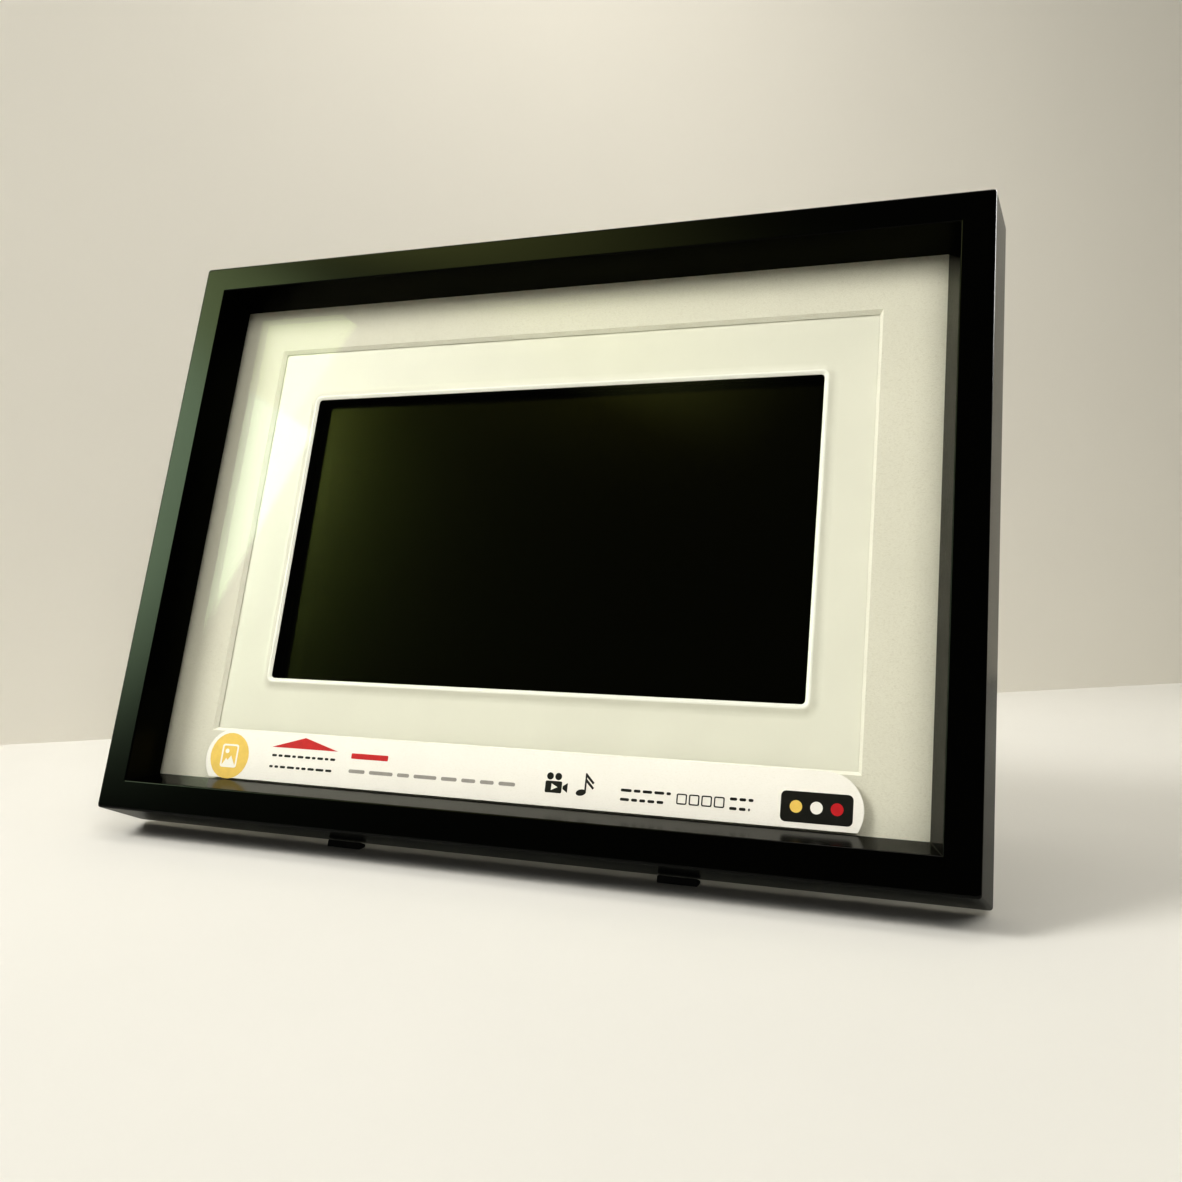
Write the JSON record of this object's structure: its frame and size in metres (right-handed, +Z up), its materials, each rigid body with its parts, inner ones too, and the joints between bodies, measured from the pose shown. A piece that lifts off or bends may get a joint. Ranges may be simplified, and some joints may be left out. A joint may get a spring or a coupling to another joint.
{
  "type": "digital photo frame",
  "caption": "Shadow-box digital photo frame: black moulding, clear pane, cream mat and white surround round a wide screen, with a swivelling easel leg behind.",
  "frame": {"origin": "centre of the bounding box, on the table that the feet rest on", "axes": "+X to the right seen from the front, +Y from the screen towards the back, +Z up"},
  "size_m": [0.2788, 0.1264, 0.1977],
  "materials": {
    "frame_black": "satin black moulding with a fine grain",
    "clear_glass": "clear, polished",
    "mat_cream": "warm cream, matt",
    "gloss_white": "warm white, glossy",
    "label_white": "printed paper, semi-gloss",
    "screen_black": "black screen glass, glossy",
    "diffuser": "white diffuser stack",
    "steel": "bright zinc-plated steel",
    "chassis_steel": "plain zinc-plated sheet",
    "board_green": "green solder mask",
    "chip_black": "black moulded package",
    "cable_white": "white flat cable",
    "flex_amber": "amber film",
    "socket_black": "black moulded",
    "cover_black": "black, fine spark texture",
    "button_grey": "dark grey, satin",
    "rubber_black": "matt black",
    "nylon": "natural nylon"
  },
  "bodies": {
    "frame": {"backlight_board": "board_green", "backlight_transformer": "flex_amber", "board_screw_1": "steel", "board_screw_2": "steel", "card_socket": "steel", "chassis_plate": "chassis_steel", "chassis_screw_1": "steel", "chassis_screw_2": "steel", "chassis_screw_3": "steel", "chassis_screw_4": "steel", "clip_screw_1": "steel", "clip_screw_2": "steel", "clip_screw_3": "steel", "clip_screw_4": "steel", "cover_screw_1": "steel", "cover_screw_2": "steel", "cover_screw_3": "steel", "cover_screw_4": "steel", "cover_screw_5": "steel", "cover_screw_6": "steel", "dc_jack": "socket_black", "display_ribbon": "cable_white", "filter_capacitor": "chassis_steel", "flash_chip": "chip_black", "foot_left": "rubber_black", "foot_right": "rubber_black", "front_frame": "frame_black", "front_label": "label_white", "front_pane": "clear_glass", "lcd_back_plate": "steel", "lcd_frame": "steel", "lcd_glass": "screen_black", "light_guide": "diffuser", "main_board": "board_green", "mat_board": "mat_cream", "memory_chip": "chip_black", "mini_usb_socket": "steel", "power_inductor": "chip_black", "power_switch": "socket_black", "processor_chip": "chip_black", "rear_cover": "cover_black", "screen_surround": "gloss_white", "speaker_left": "chip_black", "speaker_right": "chip_black", "touch_strip_bottom": "flex_amber", "touch_strip_right": "flex_amber", "usb_socket": "steel"},
    "power_button": {"power_button": "button_grey"},
    "stand_base": {"stand_base": "cover_black", "hinge_pin": "steel", "friction_washer": "nylon", "retaining_ring": "steel"},
    "stand_leg": {"stand_leg": "cover_black", "leg_pad": "rubber_black"},
    "turn_clip_1": {"turn_clip_1": "steel"},
    "turn_clip_2": {"turn_clip_2": "steel"},
    "turn_clip_3": {"turn_clip_3": "steel"},
    "turn_clip_4": {"turn_clip_4": "steel"}
  },
  "joints": [
    {"name": "clip_turn_1", "type": "hinge", "parent": "frame", "child": "turn_clip_1", "pos_m": [-0.135, 0.00618, 0.14921], "axis": [0, -0.9537, 0.3007], "range_deg": [0, 90]},
    {"name": "clip_turn_2", "type": "hinge", "parent": "frame", "child": "turn_clip_2", "pos_m": [0.135, 0.00618, 0.14921], "axis": [0, 0.9537, -0.3007], "range_deg": [0, 90]},
    {"name": "clip_turn_3", "type": "hinge", "parent": "frame", "child": "turn_clip_3", "pos_m": [0.135, -0.02689, 0.0443], "axis": [0, -0.9537, 0.3007], "range_deg": [0, 90]},
    {"name": "clip_turn_4", "type": "hinge", "parent": "frame", "child": "turn_clip_4", "pos_m": [-0.135, -0.02689, 0.0443], "axis": [0, 0.9537, -0.3007], "range_deg": [0, 90]},
    {"name": "button_press", "type": "slide", "parent": "frame", "child": "power_button", "axis": [0, -0.9537, 0.3007], "range_m": [0, 0.0009], "stiffness_N_per_m": 600, "springref_m": -0.0015},
    {"name": "stand_swivel", "type": "hinge", "parent": "frame", "child": "stand_base", "pos_m": [0, 0.00882, 0.11168], "axis": [0, 0.9537, -0.3007], "range_deg": [0, 90]},
    {"name": "stand_tilt", "type": "hinge", "parent": "stand_base", "child": "stand_leg", "pos_m": [0, 0.02566, 0.13783], "axis": [1, 0, 0], "range_deg": [-31.5, 0]}
  ]
}
